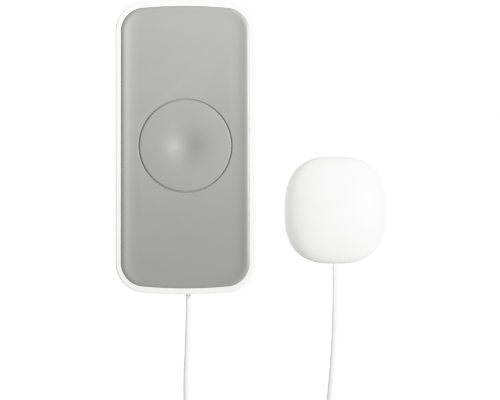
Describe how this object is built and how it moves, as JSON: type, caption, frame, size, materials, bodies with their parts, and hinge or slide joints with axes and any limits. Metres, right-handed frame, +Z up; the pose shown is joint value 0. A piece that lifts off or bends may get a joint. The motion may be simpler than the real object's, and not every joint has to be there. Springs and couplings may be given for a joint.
{
  "type": "door contact sensor",
  "caption": "Wall-mounted door contact sensor: a white and grey transmitter with a round push button, and a pebble contact head on a thin lead.",
  "frame": {"origin": "on the wall, at the back of the transmitter's adhesive pad, behind the middle of its push button", "axes": "+X right and +Z up as seen from the front, +Y into the wall; the front faces -Y"},
  "size_m": [0.1298, 0.019, 0.2892],
  "materials": {
    "white_plastic": "satin moulded",
    "grey_plastic": "satin moulded",
    "dark_plastic": "fine texture",
    "connector": "moulded",
    "board": "solder mask",
    "steel": "plated",
    "soft_rubber": "matte",
    "foam": "adhesive foam",
    "cell": "plain printed sleeve",
    "glass": "clear",
    "lead": "satin jacket",
    "tie": "woven band"
  },
  "bodies": {
    "wall_side": {"wall_plate": "white_plastic", "wall_plate_pad": "foam", "head_cover": "white_plastic", "head_base": "white_plastic", "head_pad": "foam", "head_screw": "steel", "head_board": "board", "head_terminal": "connector", "reed_glass": "glass", "reed_blade_upper": "steel", "reed_blade_lower": "steel", "head_grommet": "soft_rubber", "head_lead_tail": "lead", "lead_from_transmitter": "lead", "lead_coil": "lead", "lead_to_head": "lead", "coil_tie_left": "tie", "coil_tie_right": "tie"},
    "transmitter": {"rear_housing": "white_plastic", "front_frame": "white_plastic", "front_panel": "grey_plastic", "main_board": "board", "controller_chip": "dark_plastic", "radio_can": "steel", "antenna_wire": "steel", "lead_terminal": "connector", "switch_body": "dark_plastic", "button_return_spring": "steel", "button_stop_ring": "soft_rubber", "battery_cradle": "dark_plastic", "battery_cell_1": "cell", "battery_cell_2": "cell", "battery_plate_1": "steel", "battery_plate_2": "steel", "battery_spring_1": "steel", "battery_spring_2": "steel", "housing_screw_1": "steel", "housing_screw_2": "steel", "housing_screw_3": "steel", "housing_screw_4": "steel", "board_screw_1": "steel", "board_screw_2": "steel", "transmitter_grommet": "soft_rubber", "transmitter_lead_tail": "lead"},
    "button": {"function_button": "grey_plastic"},
    "plunger": {"switch_plunger": "dark_plastic"},
    "battery_door": {"battery_door": "white_plastic"}
  },
  "joints": [
    {"name": "transmitter_lift", "type": "slide", "parent": "wall_side", "child": "transmitter", "axis": [0, 0, 1], "range_m": [0, 0.008]},
    {"name": "button_press", "type": "slide", "parent": "transmitter", "child": "button", "axis": [0, 1, 0], "range_m": [0, 0.0005], "stiffness_N_per_m": 800, "springref_m": -0.002, "deforming": ["button_return_spring"]},
    {"name": "plunger_press", "type": "slide", "parent": "transmitter", "child": "plunger", "axis": [0, 1, 0], "range_m": [0, 0.0005]},
    {"name": "battery_door_slide", "type": "slide", "parent": "transmitter", "child": "battery_door", "axis": [0, 0, -1], "range_m": [0, 0.04]}
  ],
  "couplings": [
    {"joint": "plunger_press", "follows": "button_press", "ratio": 1}
  ]
}
